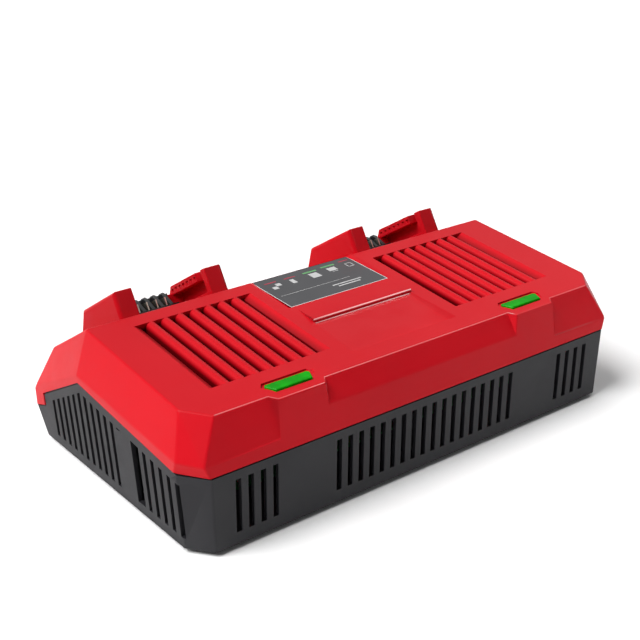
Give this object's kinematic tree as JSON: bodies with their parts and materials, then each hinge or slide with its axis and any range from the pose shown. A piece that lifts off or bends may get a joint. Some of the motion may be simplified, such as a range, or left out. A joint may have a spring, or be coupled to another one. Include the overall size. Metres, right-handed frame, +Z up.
{
  "type": "power tool battery charger",
  "caption": "Charger for slide-on power tool battery packs: vented base, faceted shell with louvre grilles, light bars, and rails with contacts on its sloping back.",
  "frame": {"origin": "middle of the footprint, on the surface the feet stand on", "axes": "+X along the length to the right-hand bay, +Y to the rear where the docks and the cord are, +Z up"},
  "size_m": [0.317, 0.1909, 0.1008],
  "materials": {
    "shell_plastic": "moulded red plastic, satin gloss with a fine grain",
    "base_plastic": "moulded charcoal plastic, fine matt grain",
    "black_plastic": "black moulded plastic",
    "green_lens": "translucent green light-pipe plastic",
    "label_film": "slate printed film, bare",
    "foot_rubber": "black rubber",
    "contact_metal": "plated contact blades",
    "screw_steel": "zinc-plated steel",
    "board_laminate": "green circuit board",
    "sink_aluminium": "extruded aluminium",
    "ferrite": "ferrite core",
    "winding_tape": "taped copper winding",
    "capacitor_sleeve": "shrink sleeve over an aluminium can",
    "fuse_glass": "glass fuse",
    "connector_plastic": "natural nylon header"
  },
  "bodies": {
    "charger": {"base_shell": "base_plastic", "top_shell": "shell_plastic", "dock_left": "shell_plastic", "dock_right": "shell_plastic", "terminal_block_left": "black_plastic", "terminal_block_right": "black_plastic", "terminal_blades_left": "contact_metal", "terminal_blades_right": "contact_metal", "light_bar_left": "green_lens", "light_bar_right": "green_lens", "light_board_left": "board_laminate", "light_board_right": "board_laminate", "label_plate": "label_film", "cord_gland": "foot_rubber", "housing_screws": "screw_steel", "board_screws": "screw_steel", "light_board_screws": "screw_steel", "dock_screws_left": "screw_steel", "dock_screws_right": "screw_steel", "main_board": "board_laminate", "heat_sink_left": "sink_aluminium", "heat_sink_right": "sink_aluminium", "power_transistors_left": "black_plastic", "power_transistors_right": "black_plastic", "transformer_core": "ferrite", "transformer_winding": "winding_tape", "bulk_capacitors": "capacitor_sleeve", "filter_choke": "winding_tape", "fuse": "fuse_glass", "board_connectors": "connector_plastic", "fan_frame": "black_plastic", "foot_front_left": "foot_rubber", "foot_front_right": "foot_rubber", "foot_side_left": "foot_rubber", "foot_side_right": "foot_rubber", "foot_rear_left": "foot_rubber", "foot_rear_right": "foot_rubber"},
    "fan": {"fan_rotor": "black_plastic"}
  },
  "joints": [
    {"name": "fan_spin", "type": "hinge", "parent": "charger", "child": "fan", "pos_m": [-0.14325, 0.0125, 0.0356], "axis": [1, 0, 0], "continuous": true}
  ]
}
